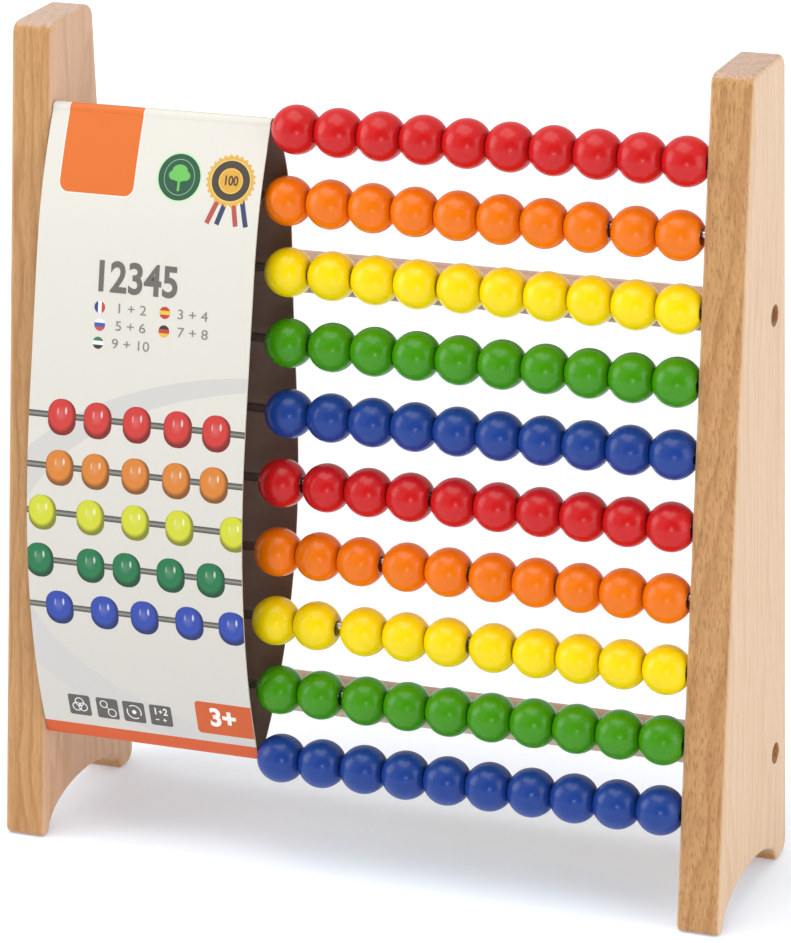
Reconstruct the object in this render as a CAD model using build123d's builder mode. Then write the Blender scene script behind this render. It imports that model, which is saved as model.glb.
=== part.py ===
"""Children's abacus: two side panels, two crossbars, ten steel rods and a hundred wooden beads.

Units are millimetres. +X runs along the rods, +Y to the back, +Z up, and the
origin is on the floor under the middle of the frame.
"""

import os
from math import atan2, sqrt, tan

from build123d import *

os.makedirs("parts", exist_ok=True)

# Frame
panel_gap = 249.4
panel_thickness = 16.0
panel_height = 302.0
base_depth = 79.5
top_depth = 34.7
panel_edge_round = 1.9
top_corner_round = 5.0
heel_round = 6.0
toe_round = 2.6
arch_end_round = 2.2
toe_length = 6.0
heel_length = 11.5
arch_height = 12.2

# Rods
row_count = 10
rod_radius = 1.7
rod_end_chamfer = 0.4
rod_seat_depth = 10.0
rod_end_gap = 0.25
rod_seat_clearance = 0.02
rod_setback = 4.1
top_rod_height = 271.3
row_pitch = 25.4

# Beads
beads_per_row = 10
bead_radius = 8.95
bead_length = 15.95
bead_bore_radius = 2.8
bead_rim_width = 0.9
bead_bore_round = 0.5
bead_hang_clearance = 0.08
bead_gap = 0.25
bead_end_gap = 0.3

# Crossbars and their fasteners
crossbar_radius = 7.8
crossbar_end_chamfer = 0.4
crossbar_setback = 13.2
upper_crossbar_height = 210.3
lower_crossbar_height = 43.9
counterbore_radius = 4.0
counterbore_depth = 6.7
screw_head_radius = 3.6
screw_head_height = 2.4
screw_slot_width = 0.9
screw_slot_depth = 1.0
screw_shank_radius = 2.0
screw_shank_length = 32.0
screw_point_length = 3.0
screw_hole_clearance = 0.15
screw_pilot_clearance = 0.02
plug_thickness = 2.6
plug_clearance = 0.03
plug_chamfer = 0.25

# Card sleeve: bulges are measured from the plane of the rods, at shares of the way down it
card_thickness = 0.6
sleeve_left_gap = 0.4
sleeve_bead_gap = 0.45
sleeve_wrap_clearance = 0.2
front_bulges = [(0.07, 8.1), (0.12, 11.2), (0.30, 16.4), (0.56, 21.0), (0.80, 16.4), (0.93, 8.6)]
rear_bulges = [(0.07, 12.6), (0.27, 21.2), (0.58, 30.0), (0.80, 25.3), (0.93, 13.5)]

# Spare space to the right of a bead, beyond the usual gap: {row: {bead: space}}
spare_gaps = {
    1: {},
    2: {8: 1.2, 10: 1.3},
    3: {1: 0.5, 2: 0.4, 4: 0.4, 10: 0.4},
    4: {1: 0.6, 10: 0.4},
    5: {10: 0.4},
    6: {1: 1.3, 4: 0.9, 10: 0.4},
    7: {3: 1.6, 5: 0.8, 7: 0.4, 10: 0.8},
    8: {2: 2.4, 5: 1.2, 6: 0.3},
    9: {2: 1.4, 10: 0.3},
    10: {2: 0.4, 10: 0.3},
}
bead_groups = [(1, 1), (2, 5), (6, 10)]

# Worked-out places
front_lean = base_depth - top_depth
toe_angle = atan2(panel_height, front_lean)
toe_cut = toe_round / tan(toe_angle / 2) - toe_round
base_front = -(base_depth + toe_cut) / 2
base_back = base_front + base_depth
arch_length = base_depth - toe_length - heel_length
arch_centre = base_front + toe_length + arch_length / 2
bead_drop = bead_bore_radius - rod_radius - bead_hang_clearance
bead_pitch = bead_length + bead_gap
crossbar_y = base_back - crossbar_setback
crossbar_heights = [upper_crossbar_height, lower_crossbar_height]
panel_outer_x = panel_gap / 2 + panel_thickness


def rod_plane_y(height):
    """Depth of the sloping plane of the rods at a height above the floor."""
    return base_front + front_lean * height / panel_height + rod_setback


def rod_height(row):
    return top_rod_height - row_pitch * (row - 1)


def bead_x(row, bead):
    """Centre of a bead, counted from the left, with its row pushed to the right."""
    spare = sum(space for place, space in spare_gaps[row].items() if place >= bead)
    last_bead = panel_gap / 2 - bead_end_gap - bead_length / 2
    return last_bead - bead_pitch * (beads_per_row - bead) - spare


def bead_place(row, bead):
    height = rod_height(row)
    return (bead_x(row, bead), rod_plane_y(height), height - bead_drop)


def save(builder, name):
    builder.part.label = name
    export_step(builder.part, f"parts/{name}.step")


# Side panels
with BuildPart() as right_side_panel:
    with BuildSketch(Plane.YZ.offset(panel_gap / 2)) as outline:
        with BuildLine():
            Polyline(
                (base_front, 0),
                (base_back, 0),
                (base_back, panel_height),
                (base_back - top_depth, panel_height),
                close=True,
            )
        make_face()
        with Locations((arch_centre, 0)):
            Ellipse(arch_length / 2, arch_height, mode=Mode.SUBTRACT)
        fillet(outline.vertices().group_by(Axis.Y)[-1], top_corner_round)
        fillet(outline.vertices().group_by(Axis.Y)[0].sort_by(Axis.X)[-1], heel_round)
        fillet(outline.vertices().group_by(Axis.Y)[0].sort_by(Axis.X)[0], toe_round)
        fillet(outline.vertices().group_by(Axis.Y)[0].sort_by(Axis.X)[1:3], arch_end_round)
    extrude(amount=panel_thickness)
    fillet(right_side_panel.faces().filter_by(Axis.X).edges(), panel_edge_round)
    for height in crossbar_heights:
        with Locations(Plane((panel_outer_x, crossbar_y, height), z_dir=(1, 0, 0))):
            CounterBoreHole(
                screw_shank_radius + screw_hole_clearance,
                counterbore_radius,
                counterbore_depth,
            )
    for row in range(1, row_count + 1):
        height = rod_height(row)
        seat = Plane((panel_gap / 2, rod_plane_y(height), height), z_dir=(-1, 0, 0))
        with Locations(seat):
            Hole(rod_radius + rod_seat_clearance, rod_seat_depth)
save(right_side_panel, "right_side_panel")

with BuildPart() as left_side_panel:
    mirror(right_side_panel.part, about=Plane.YZ)
save(left_side_panel, "left_side_panel")

# Crossbars: round dowels drilled at both ends for a screw
crossbar_names = ["upper_crossbar", "lower_crossbar"]
shank_in_crossbar = screw_shank_length - (panel_thickness - counterbore_depth)
for name, height in zip(crossbar_names, crossbar_heights):
    with BuildPart() as crossbar:
        with BuildSketch(Plane.YZ.offset(-panel_gap / 2)):
            with Locations((crossbar_y, height)):
                Circle(crossbar_radius)
        extrude(amount=panel_gap)
        chamfer(crossbar.edges().filter_by(GeomType.CIRCLE), crossbar_end_chamfer)
        for side in (-1, 1):
            with Locations(Plane((side * panel_gap / 2, crossbar_y, height), z_dir=(side, 0, 0))):
                Hole(screw_shank_radius + screw_pilot_clearance, shank_in_crossbar + 1)
    save(crossbar, name)

# Screws and the wooden plugs over their heads
screw_seat_x = panel_outer_x - counterbore_depth
screw_seats = [
    Plane((side * screw_seat_x, crossbar_y, height), z_dir=(side, 0, 0))
    for side in (-1, 1)
    for height in crossbar_heights
]
with BuildPart() as crossbar_screws:
    with BuildSketch(*screw_seats):
        Circle(screw_head_radius)
    extrude(amount=screw_head_height)
    with BuildSketch(*screw_seats):
        Circle(screw_shank_radius)
    extrude(amount=-(screw_shank_length - screw_point_length))
    with BuildSketch(*[seat.offset(screw_point_length - screw_shank_length) for seat in screw_seats]):
        Circle(screw_shank_radius)
    extrude(amount=-screw_point_length, taper=30)
    with BuildSketch(*[seat.offset(screw_head_height) for seat in screw_seats]):
        Rectangle(screw_head_radius * 1.3, screw_slot_width)
        Rectangle(screw_slot_width, screw_head_radius * 1.3)
    extrude(amount=-screw_slot_depth, mode=Mode.SUBTRACT)
save(crossbar_screws, "crossbar_screws")

with BuildPart() as screw_plugs:
    with BuildSketch(*[seat.offset(screw_head_height) for seat in screw_seats]):
        Circle(counterbore_radius - plug_clearance)
    extrude(amount=plug_thickness)
    chamfer(screw_plugs.edges().filter_by(GeomType.CIRCLE), plug_chamfer)
save(screw_plugs, "screw_plugs")

# Rods
for row in range(1, row_count + 1):
    height = rod_height(row)
    half_length = panel_gap / 2 + rod_seat_depth - rod_end_gap
    with BuildPart() as rod:
        with BuildSketch(Plane.YZ.offset(-half_length)):
            with Locations((rod_plane_y(height), height)):
                Circle(rod_radius)
        extrude(amount=2 * half_length)
        chamfer(rod.edges().filter_by(GeomType.CIRCLE), rod_end_chamfer)
    save(rod, f"rod_{row}")

# Beads: nearly round, cut flat at the bore
rim_radius = bead_bore_radius + bead_bore_round + bead_rim_width
bead_half_axis = bead_length / 2 / sqrt(1 - (rim_radius / bead_radius) ** 2)
with BuildPart() as bead:
    with BuildSketch(Plane.XY):
        Ellipse(bead_half_axis, bead_radius)
        with Locations((0, (bead_radius + bead_bore_radius) / 2)):
            Rectangle(bead_length, bead_radius - bead_bore_radius, mode=Mode.INTERSECT)
    revolve(axis=Axis.X)
    bore_rims = bead.edges().filter_by(GeomType.CIRCLE).group_by(SortBy.RADIUS)[0]
    fillet(bore_rims, bead_bore_round)

for row in range(1, row_count + 1):
    for first, last in bead_groups:
        with BuildPart() as bead_group:
            with Locations(*[bead_place(row, place) for place in range(first, last + 1)]):
                add(bead.part)
        if first == last:
            save(bead_group, f"row_{row}_bead_{first}")
        else:
            save(bead_group, f"row_{row}_beads_{first}_to_{last}")

# Card sleeve: a closed tube that wraps round the top and bottom rods
wrap_radius = rod_radius + sleeve_wrap_clearance + card_thickness
sleeve_top = rod_height(1)
sleeve_bottom = rod_height(row_count)
nearest_bead = min(bead_x(row, 1) for row in (1, row_count))
sleeve_end = nearest_bead - bead_length / 2 - sleeve_bead_gap
sleeve_width = sleeve_end + panel_gap / 2 - sleeve_left_gap


def sleeve_side(bulges, side, inset):
    """Points of one panel of the sleeve, from the top rod to the bottom one."""
    points = [(rod_plane_y(sleeve_top) + side * (wrap_radius - inset), sleeve_top)]
    for share, bulge in bulges:
        height = sleeve_top - (sleeve_top - sleeve_bottom) * share
        points.append((rod_plane_y(height) + side * (bulge - inset), height))
    last = rod_plane_y(sleeve_bottom) + side * (wrap_radius - inset)
    return points + [(last, sleeve_bottom)]


with BuildPart() as card_sleeve:
    for inset, mode in ((0, Mode.ADD), (card_thickness, Mode.SUBTRACT)):
        reach = wrap_radius - inset
        with BuildSketch(Plane.YZ.offset(sleeve_left_gap - panel_gap / 2)):
            with BuildLine():
                front = Spline(*sleeve_side(front_bulges, -1, inset))
                rear = Spline(*sleeve_side(rear_bulges, 1, inset))
                ThreePointArc(front @ 0, (rod_plane_y(sleeve_top), sleeve_top + reach), rear @ 0)
                ThreePointArc(front @ 1, (rod_plane_y(sleeve_bottom), sleeve_bottom - reach), rear @ 1)
            make_face()
        extrude(amount=sleeve_width, mode=mode)
save(card_sleeve, "card_sleeve")
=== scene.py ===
import math

import bpy
from mathutils import Matrix, Vector


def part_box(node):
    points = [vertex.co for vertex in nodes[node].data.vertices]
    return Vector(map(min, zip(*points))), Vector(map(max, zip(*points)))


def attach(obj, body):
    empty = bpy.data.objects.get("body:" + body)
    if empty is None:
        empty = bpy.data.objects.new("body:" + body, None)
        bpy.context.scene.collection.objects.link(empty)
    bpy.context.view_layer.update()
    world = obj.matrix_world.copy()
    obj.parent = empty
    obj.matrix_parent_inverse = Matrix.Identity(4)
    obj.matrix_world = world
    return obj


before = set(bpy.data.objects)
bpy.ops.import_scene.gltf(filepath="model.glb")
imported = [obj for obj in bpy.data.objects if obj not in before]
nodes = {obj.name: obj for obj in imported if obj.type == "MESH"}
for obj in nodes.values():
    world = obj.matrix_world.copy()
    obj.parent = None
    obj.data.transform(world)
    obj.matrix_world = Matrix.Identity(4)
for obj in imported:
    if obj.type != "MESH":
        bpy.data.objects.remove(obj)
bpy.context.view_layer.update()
mm = 0.001


def colour(hexCode):
    # sRGB hex to the linear values that a shader works in
    parts = [int(hexCode[i:i + 2], 16) / 255 for i in (0, 2, 4)]
    linear = [p / 12.92 if p <= 0.04045 else ((p + 0.055) / 1.055) ** 2.4 for p in parts]
    return (*linear, 1)


def grey(value):
    return (value, value, value, 1)


def addNode(tree, kind, settings=None, inputs=None, stops=None):
    node = tree.nodes.new(kind)
    for name, value in (settings or {}).items():
        setattr(node, name, value)
    for name, value in (inputs or {}).items():
        if isinstance(value, bpy.types.NodeSocket):
            tree.links.new(value, node.inputs[name])
        else:
            node.inputs[name].default_value = value
    if stops:
        ramp = node.color_ramp.elements
        while len(ramp) < len(stops):
            ramp.new(0.5)
        for mark, (place, shade) in zip(ramp, stops):
            mark.position = place
            mark.color = shade
    return node


def newMaterial(name):
    material = bpy.data.materials.new(name)
    material.use_nodes = True
    tree = material.node_tree
    tree.nodes.clear()
    place = addNode(tree, "ShaderNodeTexCoord").outputs
    size = addNode(tree, "ShaderNodeVectorMath", {"operation": "SCALE"}, {0: place["Object"], 3: 1000})
    return material, tree, size.outputs[0], place["Normal"]


def finishMaterial(tree, inputs):
    shader = addNode(tree, "ShaderNodeBsdfPrincipled", None, inputs)
    addNode(tree, "ShaderNodeOutputMaterial", None, {"Surface": shader.outputs[0]})


def dress(names, material):
    for name in names:
        for materialSlot in nodes[name].material_slots:
            materialSlot.material = material


# --- wood: solid beech, planed, sanded and satin lacquered
# beech shows short dark rays on its front edges and a quieter face at the sides, which is drawn paler partly
# as painted light

panelWood = {
    "edgePale": "CF9E65",
    "edgeDark": "B57F48",
    "sidePale": "E3C09C",
    "sideDark": "D9B28A",
    "endPale": "D0B39E",
    "endDark": "C2A28B",
    "ray": "8E5A2C",
    "ringSpacing": 5.5,     # mm between growth lines
    "drift": 26,            # mm that the growth lines wander
    "driftScale": (0.045, 0.045, 0.009),    # mm to noise units: waves 22 mm across, 110 mm along
    "rayWidth": 0.6,        # mm, drawn coarser than the real 0.4 so that it shows
    "rayLength": 4.6,
    "lineWidth": 1.1,
    "roughness": 0.46,
}


def beechPanel(name, wood, heart, lean, edgeRays):
    # heart is where the middle of the trunk would be, in mm; lean tilts the grain a little;
    # edgeRays is how strongly the rays show on the front and back edges
    material, tree, place, normal = newMaterial(name)
    grain = addNode(tree, "ShaderNodeMapping", None, {
        "Vector": place, "Location": heart, "Rotation": lean}).outputs[0]
    stretched = addNode(tree, "ShaderNodeVectorMath", {"operation": "MULTIPLY"}, {
        0: grain, 1: wood["driftScale"]}).outputs[0]
    drift = addNode(tree, "ShaderNodeTexNoise", None, {
        "Vector": stretched, "Scale": 1.0, "Detail": 3.0, "Roughness": 0.55}).outputs["Color"]
    bent = addNode(tree, "ShaderNodeVectorMath", {"operation": "MULTIPLY_ADD"}, {
        0: drift, 1: (wood["drift"], wood["drift"], 0), 2: grain}).outputs[0]
    # a wave of scale 1 repeats every 0.314 units
    rings = addNode(tree, "ShaderNodeTexWave", {
        "wave_type": "RINGS", "rings_direction": "Z", "wave_profile": "SAW"}, {
        "Vector": bent, "Scale": 0.314 / wood["ringSpacing"], "Distortion": 1.2,
        "Detail": 2.0, "Detail Scale": 0.6}).outputs["Fac"]
    ringStrength = addNode(tree, "ShaderNodeValToRGB", None, {0: rings}, [
        (0.0, grey(0.10)), (0.55, grey(0.35)), (0.86, grey(0.95)), (1.0, grey(0.15))]).outputs[0]
    # growth lines fade in and out, so no part of the board looks ruled
    patch = addNode(tree, "ShaderNodeTexNoise", None, {
        "Vector": stretched, "Scale": 2.3, "Detail": 2.0}).outputs["Fac"]
    lineVector = addNode(tree, "ShaderNodeVectorMath", {"operation": "MULTIPLY"}, {
        0: grain, 1: (1 / wood["lineWidth"], 1 / wood["lineWidth"], 0.012)}).outputs[0]
    lines = addNode(tree, "ShaderNodeTexNoise", None, {
        "Vector": lineVector, "Scale": 1.0, "Detail": 3.0, "Roughness": 0.6}).outputs["Fac"]
    mixed = addNode(tree, "ShaderNodeMath", {"operation": "MULTIPLY"}, {
        0: ringStrength, 1: patch}).outputs[0]
    toned = addNode(tree, "ShaderNodeMath", {"operation": "MULTIPLY_ADD"}, {
        0: lines, 1: 0.9, 2: mixed}).outputs[0]
    depth = addNode(tree, "ShaderNodeMapRange", None, {
        "Value": toned, "From Min": 0.28, "From Max": 0.95}).outputs[0]
    edge = addNode(tree, "ShaderNodeMix", {"data_type": "RGBA"}, {
        0: depth, 6: colour(wood["edgePale"]), 7: colour(wood["edgeDark"])}).outputs[2]
    side = addNode(tree, "ShaderNodeMix", {"data_type": "RGBA"}, {
        0: depth, 6: colour(wood["sidePale"]), 7: colour(wood["sideDark"])}).outputs[2]
    # the sides are paler than the edges: partly the flat-sawn cut, partly painted light, as though the lamps
    # fell more brightly on the sides
    facing = addNode(tree, "ShaderNodeVectorMath", {"operation": "DOT_PRODUCT"}, {
        0: normal, 1: (1, 0, 0)}).outputs["Value"]
    facing = addNode(tree, "ShaderNodeMath", {"operation": "ABSOLUTE"}, {0: facing}).outputs[0]
    sideShare = addNode(tree, "ShaderNodeMapRange", {"interpolation_type": "SMOOTHSTEP"}, {
        "Value": facing, "From Min": 0.35, "From Max": 0.9}).outputs[0]
    base = addNode(tree, "ShaderNodeMix", {"data_type": "RGBA"}, {
        0: sideShare, 6: edge, 7: side}).outputs[2]
    # end grain at the top and under the feet is greyer
    upward = addNode(tree, "ShaderNodeVectorMath", {"operation": "DOT_PRODUCT"}, {
        0: normal, 1: (0, 0, 1)}).outputs["Value"]
    upward = addNode(tree, "ShaderNodeMath", {"operation": "ABSOLUTE"}, {0: upward}).outputs[0]
    endShare = addNode(tree, "ShaderNodeMapRange", {"interpolation_type": "SMOOTHSTEP"}, {
        "Value": upward, "From Min": 0.55, "From Max": 0.95}).outputs[0]
    end = addNode(tree, "ShaderNodeMix", {"data_type": "RGBA"}, {
        0: depth, 6: colour(wood["endPale"]), 7: colour(wood["endDark"])}).outputs[2]
    base = addNode(tree, "ShaderNodeMix", {"data_type": "RGBA"}, {
        0: endShare, 6: base, 7: end}).outputs[2]
    # rays: short dark dashes along the grain
    rayVector = addNode(tree, "ShaderNodeVectorMath", {"operation": "MULTIPLY"}, {
        0: grain, 1: (1 / wood["rayWidth"], 1 / wood["rayWidth"], 1 / wood["rayLength"])}).outputs[0]
    rays = addNode(tree, "ShaderNodeTexNoise", None, {
        "Vector": rayVector, "Scale": 1.0, "Detail": 1.5, "Roughness": 0.5}).outputs["Fac"]
    rayMask = addNode(tree, "ShaderNodeMapRange", {"interpolation_type": "SMOOTHSTEP"}, {
        "Value": rays, "From Min": 0.5, "From Max": 0.66}).outputs[0]
    rayAmount = addNode(tree, "ShaderNodeMapRange", None, {
        "Value": sideShare, "To Min": edgeRays, "To Max": 0.08}).outputs[0]
    rayShare = addNode(tree, "ShaderNodeMath", {"operation": "MULTIPLY"}, {
        0: rayMask, 1: rayAmount}).outputs[0]
    tone = addNode(tree, "ShaderNodeMix", {"data_type": "RGBA"}, {
        0: rayShare, 6: base, 7: colour(wood["ray"])}).outputs[2]
    # lacquer lies a little rougher over the rays
    roughness = addNode(tree, "ShaderNodeMapRange", None, {
        "Value": toned, "To Min": wood["roughness"] - 0.05, "To Max": wood["roughness"] + 0.08}).outputs[0]
    relief = addNode(tree, "ShaderNodeMath", {"operation": "MULTIPLY_ADD"}, {
        0: rayMask, 1: -0.8, 2: lines}).outputs[0]
    bump = addNode(tree, "ShaderNodeBump", None, {
        "Strength": 0.35, "Distance": 0.05 * mm, "Height": relief}).outputs[0]
    finishMaterial(tree, {"Base Color": tone, "Roughness": roughness, "Normal": bump,
                          "IOR": 1.5, "Coat Weight": 0.12, "Coat Roughness": 0.3})
    return material


# the left board's sides are drawn darker and redder: painted shade, where the sleeve shades the board's
# inner face
leftWoodShaded = dict(panelWood, sidePale="DCB08D", sideDark="CC9D76")

rightBoard = beechPanel("lacqueredBeechRight", panelWood, (-190, 60, 0), (0.02, 0.012, 0), 0.48)
leftBoard = beechPanel("lacqueredBeechLeft", leftWoodShaded, (134, 8, 0), (0.1, 0.02, 0), 0.22)
dress(["right_side_panel"], rightBoard)
dress(["left_side_panel"], leftBoard)
print("panels done")


# crossbars are turned beech dowel: grain runs along x, a greyer pink than the panels
dowelWood = {"pale": "E3CAB4", "dark": "C8A98D", "ray": "97725A", "roughness": 0.5}


def beechDowel(name, wood):
    material, tree, place, normal = newMaterial(name)
    stretched = addNode(tree, "ShaderNodeVectorMath", {"operation": "MULTIPLY"}, {
        0: place, 1: (0.016, 0.5, 0.5)}).outputs[0]
    lines = addNode(tree, "ShaderNodeTexNoise", None, {
        "Vector": stretched, "Scale": 1.0, "Detail": 4.0, "Roughness": 0.6}).outputs["Fac"]
    base = addNode(tree, "ShaderNodeValToRGB", None, {0: lines}, [
        (0.3, colour(wood["pale"])), (0.7, colour(wood["dark"]))]).outputs[0]
    rayVector = addNode(tree, "ShaderNodeVectorMath", {"operation": "MULTIPLY"}, {
        0: place, 1: (0.28, 1.5, 1.5)}).outputs[0]
    rays = addNode(tree, "ShaderNodeTexNoise", None, {
        "Vector": rayVector, "Scale": 1.0, "Detail": 1.0}).outputs["Fac"]
    rayMask = addNode(tree, "ShaderNodeMapRange", None, {
        "Value": rays, "From Min": 0.58, "From Max": 0.75, "To Max": 0.4}).outputs[0]
    tone = addNode(tree, "ShaderNodeMix", {"data_type": "RGBA"}, {
        0: rayMask, 6: base, 7: colour(wood["ray"])}).outputs[2]
    roughness = addNode(tree, "ShaderNodeMapRange", None, {
        "Value": lines, "To Min": wood["roughness"] - 0.07, "To Max": wood["roughness"] + 0.07}).outputs[0]
    bump = addNode(tree, "ShaderNodeBump", None, {
        "Strength": 0.35, "Distance": 0.05 * mm, "Height": lines}).outputs[0]
    finishMaterial(tree, {"Base Color": tone, "Roughness": roughness, "Normal": bump, "IOR": 1.5})
    return material


dress(["upper_crossbar", "lower_crossbar"], beechDowel("turnedBeechDowel", dowelWood))


# plugs show end grain, which soaks up lacquer and looks darker and redder
plugWood = {"pale": "A27450", "dark": "7E5536", "roughness": 0.6}


def endGrainPlug(name, wood):
    material, tree, place, normal = newMaterial(name)
    pores = addNode(tree, "ShaderNodeTexVoronoi", None, {
        "Vector": place, "Scale": 2.4}).outputs["Distance"]
    clouds = addNode(tree, "ShaderNodeTexNoise", None, {
        "Vector": place, "Scale": 0.45, "Detail": 3.0}).outputs["Fac"]
    spread = addNode(tree, "ShaderNodeMath", {"operation": "MULTIPLY_ADD"}, {
        0: pores, 1: 0.5, 2: clouds}).outputs[0]
    tone = addNode(tree, "ShaderNodeValToRGB", None, {0: spread}, [
        (0.4, colour(wood["dark"])), (0.85, colour(wood["pale"]))]).outputs[0]
    roughness = addNode(tree, "ShaderNodeMapRange", None, {
        "Value": clouds, "To Min": wood["roughness"] - 0.08, "To Max": wood["roughness"] + 0.1}).outputs[0]
    bump = addNode(tree, "ShaderNodeBump", None, {
        "Strength": 0.4, "Distance": 0.05 * mm, "Height": pores}).outputs[0]
    finishMaterial(tree, {"Base Color": tone, "Roughness": roughness, "Normal": bump, "IOR": 1.5})
    return material


dress(["screw_plugs"], endGrainPlug("endGrainBeech", plugWood))
print("crossbars and plugs done")


# --- metal

rodSteel = {"bright": "D9DBDD", "dull": "B9BBBE", "roughness": 0.14}
screwSteel = {"bright": "C6C7C8", "dull": "8F9193", "roughness": 0.34}


def drawnSteel(name, steel, lineScale):
    # drawing and turning leave fine lines along the metal, which streak the reflections
    material, tree, place, normal = newMaterial(name)
    stretched = addNode(tree, "ShaderNodeVectorMath", {"operation": "MULTIPLY"}, {
        0: place, 1: lineScale}).outputs[0]
    lines = addNode(tree, "ShaderNodeTexNoise", None, {
        "Vector": stretched, "Scale": 1.0, "Detail": 3.0}).outputs["Fac"]
    handled = addNode(tree, "ShaderNodeTexNoise", None, {
        "Vector": place, "Scale": 0.12, "Detail": 2.0}).outputs["Fac"]
    tone = addNode(tree, "ShaderNodeMix", {"data_type": "RGBA"}, {
        0: handled, 6: colour(steel["bright"]), 7: colour(steel["dull"])}).outputs[2]
    roughness = addNode(tree, "ShaderNodeMapRange", None, {
        "Value": lines, "To Min": steel["roughness"] - 0.06, "To Max": steel["roughness"] + 0.1}).outputs[0]
    bump = addNode(tree, "ShaderNodeBump", None, {
        "Strength": 0.2, "Distance": 0.01 * mm, "Height": lines}).outputs[0]
    finishMaterial(tree, {"Base Color": tone, "Metallic": 1.0, "Roughness": roughness, "Normal": bump})
    return material


rodNames = [f"rod_{row}" for row in range(1, 11)]
dress(rodNames, drawnSteel("chromedSteelRod", rodSteel, (0.1, 5, 5)))
dress(["crossbar_screws"], drawnSteel("zincedSteelScrew", screwSteel, (0.4, 2, 2)))
print("rods and screws done")


# --- beads: turned wood under an even coat of satin paint

beadPaint = {
    "colours": ["CD1819", "F07600", "FBDC00", "409200", "1D408F"],
    "paintedShadeDepth": 0.42,        # how dark the painted shade round the bore is, where beads touch one another and the panel
    "rimStart": 5.0,        # mm from the rod's middle
    "rimEnd": 3.1,
    "roughness": 0.24,
    "specular": 0.32,
    "brushScale": 0.12,     # mm to noise units, about 8 mm patches
    "peelScale": 1.6,       # 0.6 mm orange peel
}


def satinPaint(name, paint, hexCode, rod):
    # rod is the middle of the row's rod, in mm
    material, tree, place, normal = newMaterial(name)
    fromRod = addNode(tree, "ShaderNodeVectorMath", {"operation": "SUBTRACT"}, {
        0: place, 1: rod}).outputs[0]
    across = addNode(tree, "ShaderNodeVectorMath", {"operation": "MULTIPLY"}, {
        0: fromRod, 1: (0, 1, 1)}).outputs[0]
    reach = addNode(tree, "ShaderNodeVectorMath", {"operation": "LENGTH"}, {0: across}).outputs["Value"]
    # painted shade: darker towards the rod, standing in for the shade where the beads touch
    paintedShadeShare = addNode(tree, "ShaderNodeMapRange", {"interpolation_type": "SMOOTHSTEP"}, {
        "Value": reach, "From Min": paint["rimStart"], "From Max": paint["rimEnd"],
        "To Max": paint["paintedShadeDepth"]}).outputs[0]
    cover = addNode(tree, "ShaderNodeTexNoise", None, {
        "Vector": place, "Scale": paint["brushScale"], "Detail": 2.0}).outputs["Fac"]
    full = colour(hexCode)
    thin = (full[0] * 0.93, full[1] * 0.93, full[2] * 0.95, 1)
    coat = addNode(tree, "ShaderNodeValToRGB", None, {0: cover}, [(0.35, full), (0.75, thin)]).outputs[0]
    dark = (full[0] * 0.3, full[1] * 0.3, full[2] * 0.3, 1)
    tone = addNode(tree, "ShaderNodeMix", {"data_type": "RGBA"}, {0: paintedShadeShare, 6: coat, 7: dark}).outputs[2]
    roughness = addNode(tree, "ShaderNodeMapRange", None, {
        "Value": cover, "To Min": paint["roughness"] - 0.04, "To Max": paint["roughness"] + 0.05}).outputs[0]
    peel = addNode(tree, "ShaderNodeTexNoise", None, {
        "Vector": place, "Scale": paint["peelScale"], "Detail": 1.0}).outputs["Fac"]
    bump = addNode(tree, "ShaderNodeBump", None, {
        "Strength": 0.05, "Distance": 0.05 * mm, "Height": peel}).outputs[0]
    finishMaterial(tree, {"Base Color": tone, "Roughness": roughness, "Normal": bump, "IOR": 1.5,
                          "Specular IOR Level": paint["specular"]})
    return material


rodMiddles = {}
for row in range(1, 11):
    low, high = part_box(f"rod_{row}")
    rodMiddles[row] = (low + high) / 2
    hexCode = beadPaint["colours"][(row - 1) % 5]
    groups = [f"row_{row}_bead_1", f"row_{row}_beads_2_to_5", f"row_{row}_beads_6_to_10"]
    dress(groups, satinPaint(f"satinPaintRow{row}", beadPaint, hexCode, rodMiddles[row] / mm))
print("beads done")


# --- card sleeve: white coated board, printed on the front, bare grey-brown board inside

card = {
    "whiteTopLit": "E0DBD0",
    "whiteLowShaded": "D3CEC4",
    "inside": "917B70",
    "insideDark": "7E695E",
    "cut": "CFC6BA",
    "band": "CECAC4",
    "rodDark": "403E38",
    "rodMid": "66645B",
    "rodLight": "8F8D83",
    "orange": "DE6E24",
    "strip": "D4561C",
    "tab": "CF581A",
    "icon": "5B5752",
    "pale": "ECE9E4",
    "roughness": 0.42,
}

# x of each printed bead, in mm, and the height of its row
printedRows = [
    ("CC372F", 165.7, [-111.0, -96.7, -81.0, -64.8, -49.6]),
    ("D67F2A", 147.4, [-111.2, -96.8, -80.8, -64.6, -49.8]),
    ("CFD02A", 130.4, [-118.0, -98.6, -80.6, -63.0, -41.5]),
    ("0F7340", 112.3, [-119.4, -98.8, -84.3, -66.7, -50.8]),
    ("2743A4", 94.6, [-112.2, -94.0, -77.9, -60.0, -42.8]),
]
printedRod = {
    "middle": -80,          # x in mm
    "halfLength": 60,
    "rise": 0.5,            # mm over the middle of the beads
    # half height and ink of each band, from the dark edges to the highlight
    "bands": [(1.15, "rodDark"), (0.8, "rodMid"), (0.28, "rodLight")],
}
printedBead = {
    "half": (5.6, 6.5),
    "corner": 5.2,
    # windows mirrored in the bead, a bright one and a faint narrow one: place, narrowness, strength
    "windows": [((0.28, 0.36, 0), 2.6, 0.6), ((-0.3, 0.3, 0), 3.4, 0.27)],
}

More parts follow.
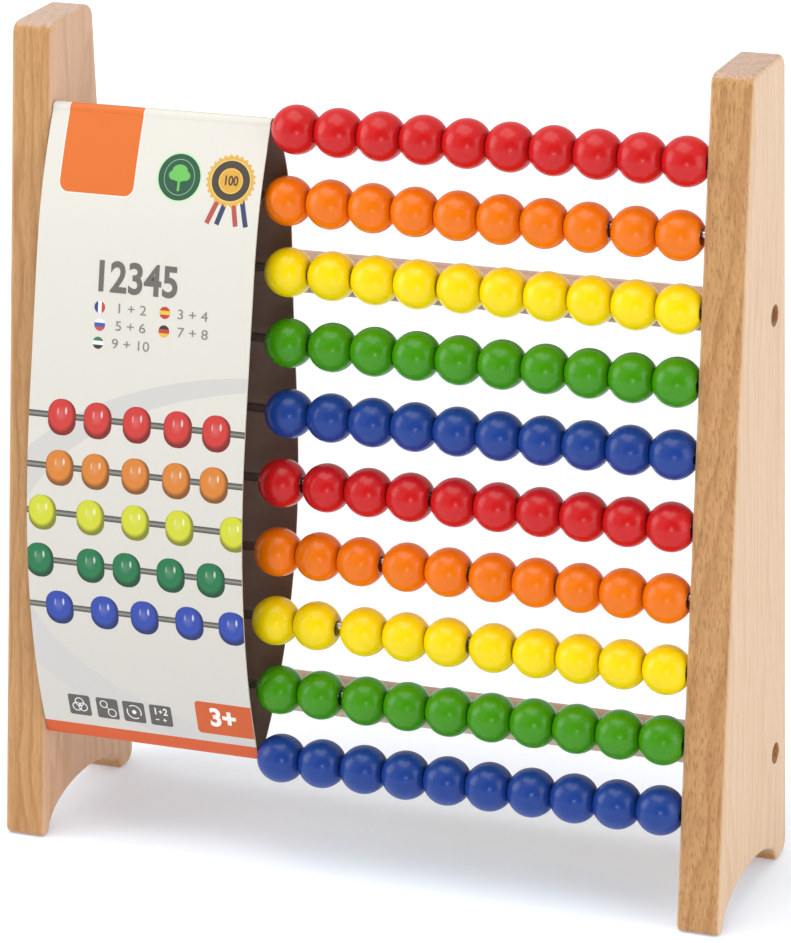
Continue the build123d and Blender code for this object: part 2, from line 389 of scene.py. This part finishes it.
# places on the front of the sleeve, in mm: x and height of the middle, then half sizes and corner
artwork = {
    "bandOuter": ((-22, 112.6), (123, 74.2)),
    "bandInner": ((-9.1, 114.7), (120.4, 68.4)),
    "tab": ((-102.8, 262.0), (14.7, 17.3), 3.6),
    "tabOutline": ((-102.8, 262.0), (15.1, 17.7), 3.9),
    "treeBadge": (-70.7, 252.6),
    "treeBadgeOvals": [((9.0, 8.4), "C4E3B8"), ((8.2, 7.7), "2C5640")],
    "treeBadgeRing": (5.9, 0.25),           # radius and width
    "treeLeaves": [((-70.7, 254.6), (3.0, 2.2)), ((-72.9, 253.2), (2.0, 1.6)),
                   ((-68.5, 253.2), (2.0, 1.6)), ((-70.7, 252.6), (2.9, 1.4))],
    "treeTrunk": ((-70.7, 250.3), (0.45, 2.3), 0.2),
    "rosette": (-50.6, 252.8),
    "rosetteHalf": (9.6, 8.7),
    "rosetteRings": [(7.8, "EBC874"), (7.4, "4A4038"), (4.7, "E9C25C"), (4.3, "DBA63F")],
    "scallops": 26,         # round the rosette
    # x, turn in radians and colour of each ribbon tail
    "ribbons": [(-56.4, 0.42, "B5544C"), (-52.9, 0.34, "3B4468"),
                (-47.9, -0.2, "B5544C"), (-44.2, -0.26, "3B4468")],
    "ribbonHeight": 242.4,
    "ribbonHalf": (0.95, 4.6),
    "signPlaces": [-108.6, -97.2, -86.4, -75.5],
    "signHeight": 54.6,
    "signHalf": (4.45, 4.4),
    # middle and radius of each ring drawn on the signs
    "signRings": [((-108.6, 55.9), 1.7), ((-109.8, 53.8), 1.7), ((-107.4, 53.8), 1.7),
                  ((-98.6, 56.3), 1.4), ((-95.6, 52.9), 1.6)],
    "signLink": ((-97.2, 54.7), (0.9, 0.18), 0.05, 0.8),    # joins the rings of the second sign
    "signDial": (-86.4, 54.6),
    # middle and half size of each bar of the sums
    "signBars": [((-75.5, 56.2), (0.75, 0.2)), ((-75.5, 56.2), (0.2, 0.75)), ((-77.2, 52.7), (0.75, 0.2)),
                 ((-74.2, 52.7), (0.75, 0.2)), ((-74.2, 52.7), (0.2, 0.75))],
    "lowerTab": ((-46.2, 56.4), (14.8, 6.8), 1.6),
    "stripTop": 46.1,
}

# the small round marks beside the numerals: middle, stripe colours, and the way the stripes lie
marks = [
    ((-98.1, 205.8), ["31457F", "F1EEEA", "C4473B"], "across"),
    ((-72.3, 206.0), ["C23A35", "E7C23E", "C23A35"], "up"),
    ((-97.8, 199.6), ["C0504E", "4457A0", "F1EEEA"], "up"),
    ((-72.3, 199.5), ["E2B83C", "C2423A", "3A3330"], "up"),
    ((-98.1, 193.2), ["3A3330", "F1EEEA", "37795A"], "up"),
]


def boxMask(tree, art, middle, half, corner, turn=0):
    # 1 inside a rounded box, 0 outside
    where = art
    if turn:
        where = addNode(tree, "ShaderNodeVectorRotate", {"rotation_type": "Z_AXIS"}, {
            "Vector": art, "Center": (*middle, 0), "Angle": turn}).outputs[0]
    away = addNode(tree, "ShaderNodeVectorMath", {"operation": "SUBTRACT"}, {
        0: where, 1: (*middle, 0)}).outputs[0]
    away = addNode(tree, "ShaderNodeVectorMath", {"operation": "ABSOLUTE"}, {0: away}).outputs[0]
    away = addNode(tree, "ShaderNodeVectorMath", {"operation": "SUBTRACT"}, {
        0: away, 1: (half[0] - corner, half[1] - corner, 0)}).outputs[0]
    away = addNode(tree, "ShaderNodeVectorMath", {"operation": "MAXIMUM"}, {
        0: away, 1: (0, 0, 0)}).outputs[0]
    reach = addNode(tree, "ShaderNodeVectorMath", {"operation": "LENGTH"}, {0: away}).outputs["Value"]
    return addNode(tree, "ShaderNodeMath", {"operation": "LESS_THAN"}, {0: reach, 1: corner}).outputs[0]


def ovalReach(tree, art, middle, half):
    # 0 at the middle of an oval and 1 on its edge
    inOval = addNode(tree, "ShaderNodeVectorMath", {"operation": "MULTIPLY_ADD"}, {
        0: art, 1: (1 / half[0], 1 / half[1], 0),
        2: (-middle[0] / half[0], -middle[1] / half[1], 0)}).outputs[0]
    reach = addNode(tree, "ShaderNodeVectorMath", {"operation": "LENGTH"}, {0: inOval}).outputs["Value"]
    return inOval, reach


def ovalMask(tree, art, middle, half):
    reach = ovalReach(tree, art, middle, half)[1]
    return addNode(tree, "ShaderNodeMath", {"operation": "LESS_THAN"}, {0: reach, 1: 1.0}).outputs[0]


def ringMask(tree, art, middle, radius, width):
    reach = ovalReach(tree, art, middle, (radius, radius))[1]
    return addNode(tree, "ShaderNodeMath", {"operation": "COMPARE"}, {
        0: reach, 1: 1.0, 2: width / radius / 2}).outputs[0]


def ink(tree, mask, under, over):
    over = colour(over) if isinstance(over, str) else over
    return addNode(tree, "ShaderNodeMix", {"data_type": "RGBA"}, {0: mask, 6: under, 7: over}).outputs[2]


def inkBeads(tree, sides, under, hexCode, height, places):
    # a row of glossy printed beads: each point of the row is drawn as part of its nearest bead
    nearest = places[0]
    for left, right in zip(places, places[1:]):
        beyond = addNode(tree, "ShaderNodeMath", {"operation": "GREATER_THAN"}, {
            0: sides[0], 1: (left + right) / 2}).outputs[0]
        nearest = addNode(tree, "ShaderNodeMath", {"operation": "MULTIPLY_ADD"}, {
            0: beyond, 1: right - left, 2: nearest}).outputs[0]
    across = addNode(tree, "ShaderNodeMath", {"operation": "SUBTRACT"}, {
        0: sides[0], 1: nearest}).outputs[0]
    upward = addNode(tree, "ShaderNodeMath", {"operation": "SUBTRACT"}, {
        0: sides[2], 1: height}).outputs[0]
    local = addNode(tree, "ShaderNodeCombineXYZ", None, {0: across, 1: upward}).outputs[0]
    inOval = ovalReach(tree, local, (0, 0), printedBead["half"])[0]
    mask = boxMask(tree, local, (0, 0), printedBead["half"], printedBead["corner"])
    # lighter above the middle, darker at the rim
    fromLight = addNode(tree, "ShaderNodeVectorMath", {"operation": "DISTANCE"}, {
        0: inOval, 1: (-0.1, 0.15, 0)}).outputs["Value"]
    full = colour(hexCode)
    light = tuple(0.92 * c + 0.08 for c in full[:3]) + (1,)
    dark = tuple(0.34 * c for c in full[:3]) + (1,)
    lit = addNode(tree, "ShaderNodeValToRGB", None, {0: fromLight}, [
        (0.0, light), (0.45, full), (0.78, full), (1.0, dark)]).outputs[0]
    for spot, narrow, strength in printedBead["windows"]:
        away = addNode(tree, "ShaderNodeVectorMath", {"operation": "SUBTRACT"}, {
            0: inOval, 1: spot}).outputs[0]
        away = addNode(tree, "ShaderNodeVectorMath", {"operation": "MULTIPLY"}, {
            0: away, 1: (narrow, 1, 0)}).outputs[0]
        away = addNode(tree, "ShaderNodeVectorMath", {"operation": "LENGTH"}, {0: away}).outputs["Value"]
        gloss = addNode(tree, "ShaderNodeMapRange", {"interpolation_type": "SMOOTHSTEP"}, {
            "Value": away, "From Min": 0.27, "From Max": 0.08, "To Max": strength}).outputs[0]
        lit = ink(tree, gloss, lit, grey(0.95))
    return ink(tree, mask, under, lit)


def printedCard(name):
    material, tree, place, normal = newMaterial(name)
    parts = addNode(tree, "ShaderNodeSeparateXYZ", None, {0: place}).outputs
    art = addNode(tree, "ShaderNodeCombineXYZ", None, {0: parts[0], 1: parts[2]}).outputs[0]
    # painted light: the blank board is drawn lighter towards the top and darker towards the bottom, as the
    # light falls off down the sleeve
    tone = addNode(tree, "ShaderNodeMapRange", {"clamp": True}, {
        "Value": parts[2], "From Min": 60.0, "From Max": 250.0}).outputs[0]
    blank = ink(tree, tone, colour(card["whiteLowShaded"]), card["whiteTopLit"])
    # wide pale band that sweeps round behind the printed rows
    outer = ovalMask(tree, art, *artwork["bandOuter"])
    inner = ovalMask(tree, art, *artwork["bandInner"])
    band = addNode(tree, "ShaderNodeMath", {"operation": "SUBTRACT", "use_clamp": True}, {
        0: outer, 1: inner}).outputs[0]
    face = ink(tree, band, blank, card["band"])
    for hexCode, height, places in printedRows:
        middle = (printedRod["middle"], height + printedRod["rise"])
        for half, shade in printedRod["bands"]:
            line = boxMask(tree, art, middle, (printedRod["halfLength"], half), 0.05)
            face = ink(tree, line, face, card[shade])
        face = inkBeads(tree, parts, face, hexCode, height, places)
    print("printed rows done")

    # orange tab hanging from the top crease, with a pale outline
    face = ink(tree, boxMask(tree, art, *artwork["tabOutline"]), face, "EFEAE3")
    face = ink(tree, boxMask(tree, art, *artwork["tab"]), face, card["orange"])

    # green round badge with a tree
    middle = artwork["treeBadge"]
    for half, shade in artwork["treeBadgeOvals"]:
        face = ink(tree, ovalMask(tree, art, middle, half), face, shade)
    face = ink(tree, ringMask(tree, art, middle, *artwork["treeBadgeRing"]), face, "7FBF84")
    for spot, half in artwork["treeLeaves"]:
        face = ink(tree, ovalMask(tree, art, spot, half), face, "6CBF5A")
    face = ink(tree, boxMask(tree, art, *artwork["treeTrunk"]), face, "6CBF5A")

    # gold rosette with four ribbon tails
    for x, turn, shade in artwork["ribbons"]:
        tail = boxMask(tree, art, (x, artwork["ribbonHeight"]), artwork["ribbonHalf"], 0.1, turn)
        face = ink(tree, tail, face, shade)
    middle = artwork["rosette"]
    inOval, reach = ovalReach(tree, art, middle, artwork["rosetteHalf"])
    sides = addNode(tree, "ShaderNodeSeparateXYZ", None, {0: inOval}).outputs
    around = addNode(tree, "ShaderNodeMath", {"operation": "ARCTAN2"}, {
        0: sides[1], 1: sides[0]}).outputs[0]
    waves = addNode(tree, "ShaderNodeMath", {"operation": "MULTIPLY"}, {
        0: around, 1: artwork["scallops"]}).outputs[0]
    waves = addNode(tree, "ShaderNodeMath", {"operation": "COSINE"}, {0: waves}).outputs[0]
    edge = addNode(tree, "ShaderNodeMath", {"operation": "MULTIPLY_ADD"}, {
        0: waves, 1: 0.045, 2: 0.96}).outputs[0]
    scallops = addNode(tree, "ShaderNodeMath", {"operation": "LESS_THAN"}, {
        0: reach, 1: edge}).outputs[0]
    face = ink(tree, scallops, face, "DDAE4C")
    for radius, shade in artwork["rosetteRings"]:
        face = ink(tree, ovalMask(tree, art, middle, (radius, radius * 0.9)), face, shade)
    print("badges done")

    # round marks with three stripes each
    for middle, shades, way in marks:
        inOval, reach = ovalReach(tree, art, middle, (2.15, 2.15))
        sides = addNode(tree, "ShaderNodeSeparateXYZ", None, {0: inOval}).outputs
        along = addNode(tree, "ShaderNodeMapRange", None, {
            "Value": sides[0 if way == "across" else 1], "From Min": -1.0}).outputs[0]
        stripes = addNode(tree, "ShaderNodeValToRGB", None, {0: along}, [
            (0.0, colour(shades[0])), (0.34, colour(shades[1])), (0.67, colour(shades[2]))])
        stripes.color_ramp.interpolation = "CONSTANT"
        mask = addNode(tree, "ShaderNodeMath", {"operation": "LESS_THAN"}, {0: reach, 1: 1.0}).outputs[0]
        face = ink(tree, mask, face, stripes.outputs[0])

    # four dark square signs
    for x in artwork["signPlaces"]:
        sign = boxMask(tree, art, (x, artwork["signHeight"]), artwork["signHalf"], 0.9)
        face = ink(tree, sign, face, card["icon"])
    for spot, radius in artwork["signRings"]:
        face = ink(tree, ringMask(tree, art, spot, radius, 0.4), face, card["pale"])
    face = ink(tree, boxMask(tree, art, *artwork["signLink"]), face, card["pale"])
    # the third sign is a dial: a ring cut across the slant, with a dot in its middle
    middle = artwork["signDial"]
    face = ink(tree, ringMask(tree, art, middle, 2.8, 0.45), face, card["pale"])
    face = ink(tree, boxMask(tree, art, middle, (3.6, 0.7), 0.1, 0.7), face, card["icon"])
    face = ink(tree, ovalMask(tree, art, middle, (0.9, 0.9)), face, card["pale"])
    for spot, half in artwork["signBars"]:
        face = ink(tree, boxMask(tree, art, spot, half, 0.05), face, card["pale"])

    # orange tab at the right and orange strip along the bottom crease
    face = ink(tree, boxMask(tree, art, *artwork["lowerTab"]), face, card["tab"])
    stripMask = addNode(tree, "ShaderNodeMath", {"operation": "LESS_THAN"}, {
        0: parts[2], 1: artwork["stripTop"]}).outputs[0]
    face = ink(tree, stripMask, face, card["strip"])
    back = ink(tree, stripMask, blank, card["strip"])

    # which side of the rods' plane this point is on, and so which side of the board
    first, last = rodMiddles[1] / mm, rodMiddles[10] / mm
    slope = (first.y - last.y) / (first.z - last.z)
    planeY = addNode(tree, "ShaderNodeMath", {"operation": "MULTIPLY_ADD"}, {
        0: parts[2], 1: slope, 2: first.y - slope * first.z}).outputs[0]
    behind = addNode(tree, "ShaderNodeMath", {"operation": "SUBTRACT"}, {
        0: parts[1], 1: planeY}).outputs[0]
    isBack = addNode(tree, "ShaderNodeMath", {"operation": "GREATER_THAN"}, {
        0: behind, 1: 0.0}).outputs[0]
    printed = ink(tree, isBack, face, back)
    faces = addNode(tree, "ShaderNodeSeparateXYZ", None, {0: normal}).outputs
    outward = addNode(tree, "ShaderNodeMath", {"operation": "MULTIPLY"}, {
        0: faces[1], 1: behind}).outputs[0]
    isInside = addNode(tree, "ShaderNodeMath", {"operation": "LESS_THAN"}, {
        0: outward, 1: 0.0}).outputs[0]
    # bare board: fibres 0.6 mm wide in soft streaks
    streaks = addNode(tree, "ShaderNodeVectorMath", {"operation": "MULTIPLY"}, {
        0: place, 1: (0.25, 1.6, 1.6)}).outputs[0]
    fibres = addNode(tree, "ShaderNodeTexNoise", None, {
        "Vector": streaks, "Scale": 1.0, "Detail": 4.0}).outputs["Fac"]
    bare = ink(tree, fibres, colour(card["inside"]), card["insideDark"])
    tone = ink(tree, isInside, printed, bare)
    # cut edges show the pale core of the board
    cutEdge = addNode(tree, "ShaderNodeMath", {"operation": "ABSOLUTE"}, {0: faces[0]}).outputs[0]
    cutEdge = addNode(tree, "ShaderNodeMath", {"operation": "GREATER_THAN"}, {
        0: cutEdge, 1: 0.6}).outputs[0]
    tone = ink(tree, cutEdge, tone, card["cut"])
    roughness = addNode(tree, "ShaderNodeMapRange", None, {
        "Value": isInside, "To Min": card["roughness"], "To Max": 0.85}).outputs[0]
    roughness = addNode(tree, "ShaderNodeMath", {"operation": "MULTIPLY_ADD"}, {
        0: fibres, 1: 0.08, 2: roughness}).outputs[0]
    bump = addNode(tree, "ShaderNodeBump", None, {
        "Strength": 0.15, "Distance": 0.03 * mm, "Height": fibres}).outputs[0]
    finishMaterial(tree, {"Base Color": tone, "Roughness": roughness, "Normal": bump, "IOR": 1.48})
    return material


dress(["card_sleeve"], printedCard("coatedPrintedBoard"))
print("card sleeve done")


# --- printed numerals, as a film of ink just proud of the board

inkFilm = {"lift": 0.06, "thickness": 0.03}   # mm off the board, and thick

numerals = [
    # name, characters, height of a line in mm, width scale, middle, colour, weight in mm
    ("big_numerals", "12345", 15.5, 0.88, (-84.4, 216.2), "6A655F", 0.38),
    ("small_numerals_1", "1 + 2", 5.0, 1.15, (-85.6, 205.8), "827D77", 0.0),
    ("small_numerals_2", "3 + 4", 5.0, 1.15, (-61.4, 205.8), "827D77", 0.0),
    ("small_numerals_3", "5 + 6", 5.0, 1.15, (-85.6, 199.6), "827D77", 0.0),
    ("small_numerals_4", "7 + 8", 5.0, 1.15, (-61.0, 199.5), "827D77", 0.0),
    ("small_numerals_5", "9 + 10", 5.0, 1.15, (-85.2, 193.3), "827D77", 0.0),
    ("rosette_numerals", "100", 4.8, 0.8, (-50.6, 252.8), "4A4038", 0.1),
    ("tab_numerals", "3+", 10.5, 0.95, (-50.2, 56.7), "EFE9E1", 0.4),
    ("sign_numerals", "1  2", 4.2, 0.9, (-75.5, 56.2), "ECE9E4", 0.1),
]


def inkMaterial(name, hexCode):
    # offset ink on coated board: flat colour with a slightly uneven film
    material, tree, place, normal = newMaterial(name)
    film = addNode(tree, "ShaderNodeTexNoise", None, {
        "Vector": place, "Scale": 1.2, "Detail": 2.0}).outputs["Fac"]
    full = colour(hexCode)
    thin = tuple(min(1, c * 1.12) for c in full[:3]) + (1,)
    tone = addNode(tree, "ShaderNodeValToRGB", None, {0: film}, [(0.35, full), (0.7, thin)]).outputs[0]
    roughness = addNode(tree, "ShaderNodeMapRange", None, {
        "Value": film, "To Min": 0.38, "To Max": 0.48}).outputs[0]
    finishMaterial(tree, {"Base Color": tone, "Roughness": roughness, "IOR": 1.48})
    return material


def boardPoint(x, z):
    # the front of the board at a place, in mm
    found, point, normal, face = nodes["card_sleeve"].ray_cast(
        Vector((x * mm, -0.2, z * mm)), Vector((0, 1, 0)))
    return point / mm


def printNumerals(name, characters, size, widthScale, middle, hexCode, weight):
    bpy.ops.object.select_all(action="DESELECT")
    bpy.ops.object.text_add(location=(0, 0, 0))
    text = bpy.context.object
    text.name = name
    text.data.body = characters
    text.data.size = size * mm
    text.data.align_x = "CENTER"
    text.data.align_y = "CENTER"
    text.data.offset = weight * mm
    text.data.extrude = inkFilm["thickness"] * mm / 2
    bpy.ops.object.convert(target="MESH")
    # stand it up and lean it back with the board behind it
    above = boardPoint(middle[0], middle[1] + size / 2)
    below = boardPoint(middle[0], middle[1] - size / 2)
    lean = math.atan2(above.y - below.y, above.z - below.z)
    centre = (above + below) / 2
    bulge = boardPoint(*middle)
    front = min(bulge.y, centre.y) - inkFilm["lift"]
    place = Matrix.Translation(Vector((middle[0], front, middle[1])) * mm)
    turn = Matrix.Rotation(math.pi / 2 - lean, 4, "X")
    text.data.transform(place @ turn @ Matrix.Diagonal((widthScale, 1, 1, 1)))
    text.data.materials.clear()
    text.data.materials.append(inkMaterial(f"offsetInk_{name}", hexCode))
    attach(text, "frame")


for line in numerals:
    printNumerals(*line)
print("numerals done")


# --- floor, light and camera

# a white tent, open towards the camera side, over a floor lit from below
studio = {
    "floor": "F2F6FA",
    "glow": "DCECFF",
    "nearGlow": 0.22,
    "farGlow": 0.6,
    "tent": 0.7,
    "opening": 0.1,
    "openingSide": Vector((0.37, -0.87, 0.25)),
    "aim": Vector((0, 0, 0.15)),        # every lamp points here, at the middle of the toy
    # place and size in metres, and power in watts
    "lamps": {
        "left_softbox": ((-1.35, -0.45, 0.7), (0.9, 1.0), 7.2),
        "right_softbox": ((1.4, -0.35, 0.5), (0.7, 1.0), 4.4),
        "top_softbox": ((-0.1, -0.2, 1.4), (1.2, 0.9), 8.0),
        "front_spot": ((0.52, -1.3, 0.32), (0.26, 0.26), 1.8),
    },
}


def paleFloor():
    bpy.ops.object.select_all(action="DESELECT")
    bpy.ops.mesh.primitive_plane_add(size=14, location=(0, 0, 0))
    floor = bpy.context.object
    floor.name = "studio_floor"
    material, tree, place, normal = newMaterial("matteWhiteFloor")
    grain = addNode(tree, "ShaderNodeTexNoise", None, {"Vector": place, "Scale": 0.02}).outputs["Fac"]
    roughness = addNode(tree, "ShaderNodeMapRange", None, {
        "Value": grain, "To Min": 0.8, "To Max": 0.9}).outputs[0]
    # the glow grows away from the middle, so the floor runs out into white
    away = addNode(tree, "ShaderNodeVectorMath", {"operation": "LENGTH"}, {0: place}).outputs["Value"]
    glow = addNode(tree, "ShaderNodeMapRange", {"interpolation_type": "SMOOTHSTEP"}, {
        "Value": away, "From Min": 300.0, "From Max": 1500.0,
        "To Min": studio["nearGlow"], "To Max": studio["farGlow"]}).outputs[0]
    finishMaterial(tree, {"Base Color": colour(studio["floor"]), "Roughness": roughness,
                          "Specular IOR Level": 0.1, "Emission Color": colour(studio["glow"]),
                          "Emission Strength": glow})
    floor.data.materials.append(material)


def softbox(name, place, size, power):
    data = bpy.data.lights.new(name, "AREA")
    data.shape = "RECTANGLE"
    data.size, data.size_y = size
    data.energy = power
    lamp = bpy.data.objects.new(name, data)
    bpy.context.scene.collection.objects.link(lamp)
    lamp.location = place
    lamp.rotation_euler = (studio["aim"] - Vector(place)).to_track_quat("-Z", "Y").to_euler()


paleFloor()
for name, (place, size, power) in studio["lamps"].items():
    softbox(name, place, size, power)

world = bpy.data.worlds.new("white_tent")
world.use_nodes = True
tree = world.node_tree
tree.nodes.clear()
heading = addNode(tree, "ShaderNodeTexCoord").outputs["Generated"]
towards = addNode(tree, "ShaderNodeVectorMath", {"operation": "DOT_PRODUCT"}, {
    0: heading, 1: studio["openingSide"].normalized()}).outputs["Value"]
opening = addNode(tree, "ShaderNodeMapRange", {"interpolation_type": "SMOOTHSTEP"}, {
    "Value": towards, "From Min": 0.8, "From Max": 0.87,
    "To Min": studio["tent"], "To Max": studio["opening"]}).outputs[0]
seen = addNode(tree, "ShaderNodeLightPath").outputs["Is Camera Ray"]
strength = addNode(tree, "ShaderNodeMix", {"data_type": "FLOAT"}, {
    0: seen, 2: opening, 3: 1.0}).outputs[0]
tent = addNode(tree, "ShaderNodeBackground", None, {"Color": grey(1.0), "Strength": strength})
addNode(tree, "ShaderNodeOutputWorld", None, {"Surface": tent.outputs[0]})
bpy.context.scene.world = world
bpy.context.scene.view_settings.view_transform = "Standard"
bpy.context.scene.view_settings.look = "None"

# place in metres, angles in degrees and lens in mm
shot = {
    "place": (0.59715, -1.39961, 0.69734),
    "turn": 22.89,
    "down": 19.92,
    "roll": -1.84,
    "lens": 171.37,
}
cameraData = bpy.data.cameras.new("camera")
cameraData.lens = shot["lens"]
cameraData.sensor_width = 36
camera = bpy.data.objects.new("camera", cameraData)
bpy.context.scene.collection.objects.link(camera)
camera.matrix_world = (
    Matrix.Translation(shot["place"])
    @ Matrix.Rotation(math.radians(shot["turn"]), 4, "Z")
    @ Matrix.Rotation(math.radians(90 - shot["down"]), 4, "X")
    @ Matrix.Rotation(math.radians(shot["roll"]), 4, "Z")
)
bpy.context.scene.camera = camera
print("studio done")
